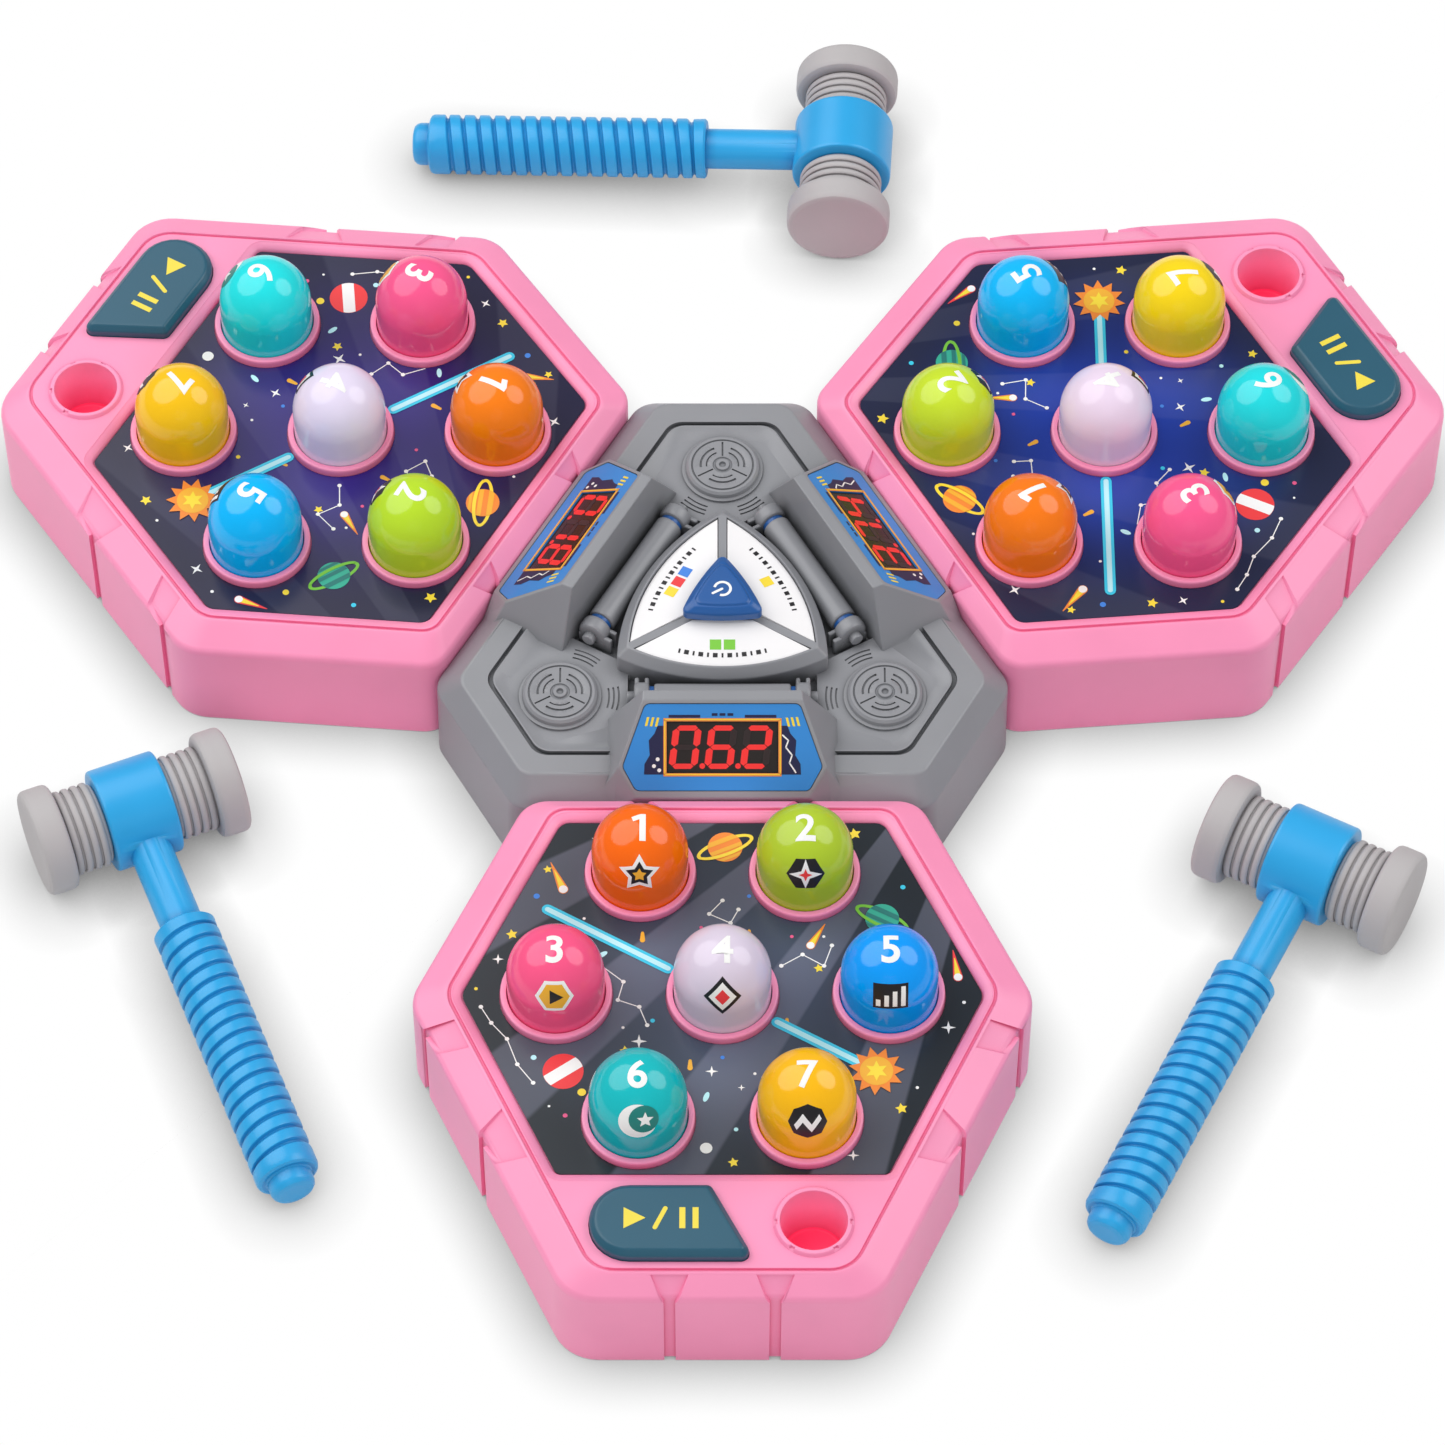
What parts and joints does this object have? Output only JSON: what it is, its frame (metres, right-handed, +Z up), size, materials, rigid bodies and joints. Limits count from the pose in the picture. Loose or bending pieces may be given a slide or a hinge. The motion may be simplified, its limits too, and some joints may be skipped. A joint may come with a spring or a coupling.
{
  "type": "mole pounding game",
  "caption": "Tabletop pounding game: a lobed console with displays, hexagonal pads of pop-up domes round it, and soft two-ended hammers.",
  "frame": {"origin": "middle of the console's underside, on the plane that the toy rests on", "axes": "+Z up; -Y towards the front pad, whose side faces the viewer; +X to the right"},
  "size_m": [0.5726, 0.5966, 0.0834],
  "materials": {
    "pink_abs": "glossy moulded",
    "grey_abs": "satin moulded",
    "printed_sheet": "printed and laminated",
    "green_board": "etched circuit board",
    "start_button_abs": "satin moulded",
    "power_button_abs": "satin moulded",
    "mode_button_abs": "satin moulded",
    "printed_panel": "printed",
    "smoked_window": "smoked and polished",
    "speaker_black": "matte",
    "handle_abs": "glossy moulded",
    "soft_head": "soft matte",
    "dome_plastic_1": "polished",
    "dome_plastic_2": "polished",
    "dome_plastic_3": "polished",
    "dome_plastic_4": "polished",
    "dome_plastic_5": "polished",
    "dome_plastic_6": "polished",
    "dome_plastic_7": "polished"
  },
  "bodies": {
    "base": {"console_top_cover": "grey_abs", "console_base_plate": "grey_abs", "battery_door": "grey_abs", "main_circuit_board": "green_board", "speaker": "speaker_black", "front_display_panel": "printed_panel", "front_led_display": "smoked_window", "right_display_panel": "printed_panel", "right_led_display": "smoked_window", "left_display_panel": "printed_panel", "left_led_display": "smoked_window", "front_pad_top_shell": "pink_abs", "front_pad_bottom_cover": "pink_abs", "front_pad_playfield": "printed_sheet", "front_pad_circuit_board": "green_board", "right_pad_top_shell": "pink_abs", "right_pad_bottom_cover": "pink_abs", "right_pad_playfield": "printed_sheet", "right_pad_circuit_board": "green_board", "left_pad_top_shell": "pink_abs", "left_pad_bottom_cover": "pink_abs", "left_pad_playfield": "printed_sheet", "left_pad_circuit_board": "green_board"},
    "power_button": {"power_button": "power_button_abs"},
    "front_mode_button": {"front_mode_button": "mode_button_abs"},
    "right_mode_button": {"right_mode_button": "mode_button_abs"},
    "left_mode_button": {"left_mode_button": "mode_button_abs"},
    "front_start_button": {"front_start_button": "start_button_abs"},
    "front_dome_1": {"front_dome_1": "dome_plastic_1"},
    "front_dome_2": {"front_dome_2": "dome_plastic_2"},
    "front_dome_3": {"front_dome_3": "dome_plastic_3"},
    "front_dome_4": {"front_dome_4": "dome_plastic_4"},
    "front_dome_5": {"front_dome_5": "dome_plastic_5"},
    "front_dome_6": {"front_dome_6": "dome_plastic_6"},
    "front_dome_7": {"front_dome_7": "dome_plastic_7"},
    "right_start_button": {"right_start_button": "start_button_abs"},
    "right_dome_1": {"right_dome_1": "dome_plastic_1"},
    "right_dome_2": {"right_dome_2": "dome_plastic_2"},
    "right_dome_3": {"right_dome_3": "dome_plastic_3"},
    "right_dome_4": {"right_dome_4": "dome_plastic_4"},
    "right_dome_5": {"right_dome_5": "dome_plastic_5"},
    "right_dome_6": {"right_dome_6": "dome_plastic_6"},
    "right_dome_7": {"right_dome_7": "dome_plastic_7"},
    "left_start_button": {"left_start_button": "start_button_abs"},
    "left_dome_1": {"left_dome_1": "dome_plastic_1"},
    "left_dome_2": {"left_dome_2": "dome_plastic_2"},
    "left_dome_3": {"left_dome_3": "dome_plastic_3"},
    "left_dome_4": {"left_dome_4": "dome_plastic_4"},
    "left_dome_5": {"left_dome_5": "dome_plastic_5"},
    "left_dome_6": {"left_dome_6": "dome_plastic_6"},
    "left_dome_7": {"left_dome_7": "dome_plastic_7"},
    "left_hammer": {"left_hammer_handle": "handle_abs", "left_hammer_near_head": "soft_head", "left_hammer_far_head": "soft_head"},
    "right_hammer": {"right_hammer_handle": "handle_abs", "right_hammer_near_head": "soft_head", "right_hammer_far_head": "soft_head"},
    "rear_hammer": {"rear_hammer_handle": "handle_abs", "rear_hammer_near_head": "soft_head", "rear_hammer_far_head": "soft_head"}
  },
  "joints": [
    {"name": "power_button_press", "type": "slide", "parent": "base", "child": "power_button", "axis": [0, 0, -1], "range_m": [0, 0.0015], "stiffness_N_per_m": 800, "springref_m": -0.0015},
    {"name": "front_mode_button_press", "type": "slide", "parent": "base", "child": "front_mode_button", "axis": [0, 0, -1], "range_m": [0, 0.0012], "stiffness_N_per_m": 700, "springref_m": -0.0015},
    {"name": "right_mode_button_press", "type": "slide", "parent": "base", "child": "right_mode_button", "axis": [0, 0, -1], "range_m": [0, 0.0012], "stiffness_N_per_m": 700, "springref_m": -0.0015},
    {"name": "left_mode_button_press", "type": "slide", "parent": "base", "child": "left_mode_button", "axis": [0, 0, -1], "range_m": [0, 0.0012], "stiffness_N_per_m": 700, "springref_m": -0.0015},
    {"name": "front_start_button_press", "type": "slide", "parent": "base", "child": "front_start_button", "axis": [0, 0, -1], "range_m": [0, 0.0025], "stiffness_N_per_m": 500, "springref_m": -0.0025},
    {"name": "right_start_button_press", "type": "slide", "parent": "base", "child": "right_start_button", "axis": [0, 0, -1], "range_m": [0, 0.0025], "stiffness_N_per_m": 500, "springref_m": -0.0025},
    {"name": "left_start_button_press", "type": "slide", "parent": "base", "child": "left_start_button", "axis": [0, 0, -1], "range_m": [0, 0.0025], "stiffness_N_per_m": 500, "springref_m": -0.0025},
    {"name": "front_dome_1_press", "type": "slide", "parent": "base", "child": "front_dome_1", "axis": [0, 0, -1], "range_m": [0, 0.004], "stiffness_N_per_m": 400, "springref_m": -0.004},
    {"name": "front_dome_2_press", "type": "slide", "parent": "base", "child": "front_dome_2", "axis": [0, 0, -1], "range_m": [0, 0.004], "stiffness_N_per_m": 400, "springref_m": -0.004},
    {"name": "front_dome_3_press", "type": "slide", "parent": "base", "child": "front_dome_3", "axis": [0, 0, -1], "range_m": [0, 0.004], "stiffness_N_per_m": 400, "springref_m": -0.004},
    {"name": "front_dome_4_press", "type": "slide", "parent": "base", "child": "front_dome_4", "axis": [0, 0, -1], "range_m": [0, 0.004], "stiffness_N_per_m": 400, "springref_m": -0.004},
    {"name": "front_dome_5_press", "type": "slide", "parent": "base", "child": "front_dome_5", "axis": [0, 0, -1], "range_m": [0, 0.004], "stiffness_N_per_m": 400, "springref_m": -0.004},
    {"name": "front_dome_6_press", "type": "slide", "parent": "base", "child": "front_dome_6", "axis": [0, 0, -1], "range_m": [0, 0.004], "stiffness_N_per_m": 400, "springref_m": -0.004},
    {"name": "front_dome_7_press", "type": "slide", "parent": "base", "child": "front_dome_7", "axis": [0, 0, -1], "range_m": [0, 0.004], "stiffness_N_per_m": 400, "springref_m": -0.004},
    {"name": "right_dome_1_press", "type": "slide", "parent": "base", "child": "right_dome_1", "axis": [0, 0, -1], "range_m": [0, 0.004], "stiffness_N_per_m": 400, "springref_m": -0.004},
    {"name": "right_dome_2_press", "type": "slide", "parent": "base", "child": "right_dome_2", "axis": [0, 0, -1], "range_m": [0, 0.004], "stiffness_N_per_m": 400, "springref_m": -0.004},
    {"name": "right_dome_3_press", "type": "slide", "parent": "base", "child": "right_dome_3", "axis": [0, 0, -1], "range_m": [0, 0.004], "stiffness_N_per_m": 400, "springref_m": -0.004},
    {"name": "right_dome_4_press", "type": "slide", "parent": "base", "child": "right_dome_4", "axis": [0, 0, -1], "range_m": [0, 0.004], "stiffness_N_per_m": 400, "springref_m": -0.004},
    {"name": "right_dome_5_press", "type": "slide", "parent": "base", "child": "right_dome_5", "axis": [0, 0, -1], "range_m": [0, 0.004], "stiffness_N_per_m": 400, "springref_m": -0.004},
    {"name": "right_dome_6_press", "type": "slide", "parent": "base", "child": "right_dome_6", "axis": [0, 0, -1], "range_m": [0, 0.004], "stiffness_N_per_m": 400, "springref_m": -0.004},
    {"name": "right_dome_7_press", "type": "slide", "parent": "base", "child": "right_dome_7", "axis": [0, 0, -1], "range_m": [0, 0.004], "stiffness_N_per_m": 400, "springref_m": -0.004},
    {"name": "left_dome_1_press", "type": "slide", "parent": "base", "child": "left_dome_1", "axis": [0, 0, -1], "range_m": [0, 0.004], "stiffness_N_per_m": 400, "springref_m": -0.004},
    {"name": "left_dome_2_press", "type": "slide", "parent": "base", "child": "left_dome_2", "axis": [0, 0, -1], "range_m": [0, 0.004], "stiffness_N_per_m": 400, "springref_m": -0.004},
    {"name": "left_dome_3_press", "type": "slide", "parent": "base", "child": "left_dome_3", "axis": [0, 0, -1], "range_m": [0, 0.004], "stiffness_N_per_m": 400, "springref_m": -0.004},
    {"name": "left_dome_4_press", "type": "slide", "parent": "base", "child": "left_dome_4", "axis": [0, 0, -1], "range_m": [0, 0.004], "stiffness_N_per_m": 400, "springref_m": -0.004},
    {"name": "left_dome_5_press", "type": "slide", "parent": "base", "child": "left_dome_5", "axis": [0, 0, -1], "range_m": [0, 0.004], "stiffness_N_per_m": 400, "springref_m": -0.004},
    {"name": "left_dome_6_press", "type": "slide", "parent": "base", "child": "left_dome_6", "axis": [0, 0, -1], "range_m": [0, 0.004], "stiffness_N_per_m": 400, "springref_m": -0.004},
    {"name": "left_dome_7_press", "type": "slide", "parent": "base", "child": "left_dome_7", "axis": [0, 0, -1], "range_m": [0, 0.004], "stiffness_N_per_m": 400, "springref_m": -0.004},
    {"name": "left_hammer_lift", "type": "slide", "parent": "base", "child": "left_hammer", "axis": [0, 0, 1], "range_m": [0, 0.12]},
    {"name": "right_hammer_lift", "type": "slide", "parent": "base", "child": "right_hammer", "axis": [0, 0, 1], "range_m": [0, 0.12]},
    {"name": "rear_hammer_lift", "type": "slide", "parent": "base", "child": "rear_hammer", "axis": [0, 0, 1], "range_m": [0, 0.12]}
  ]
}
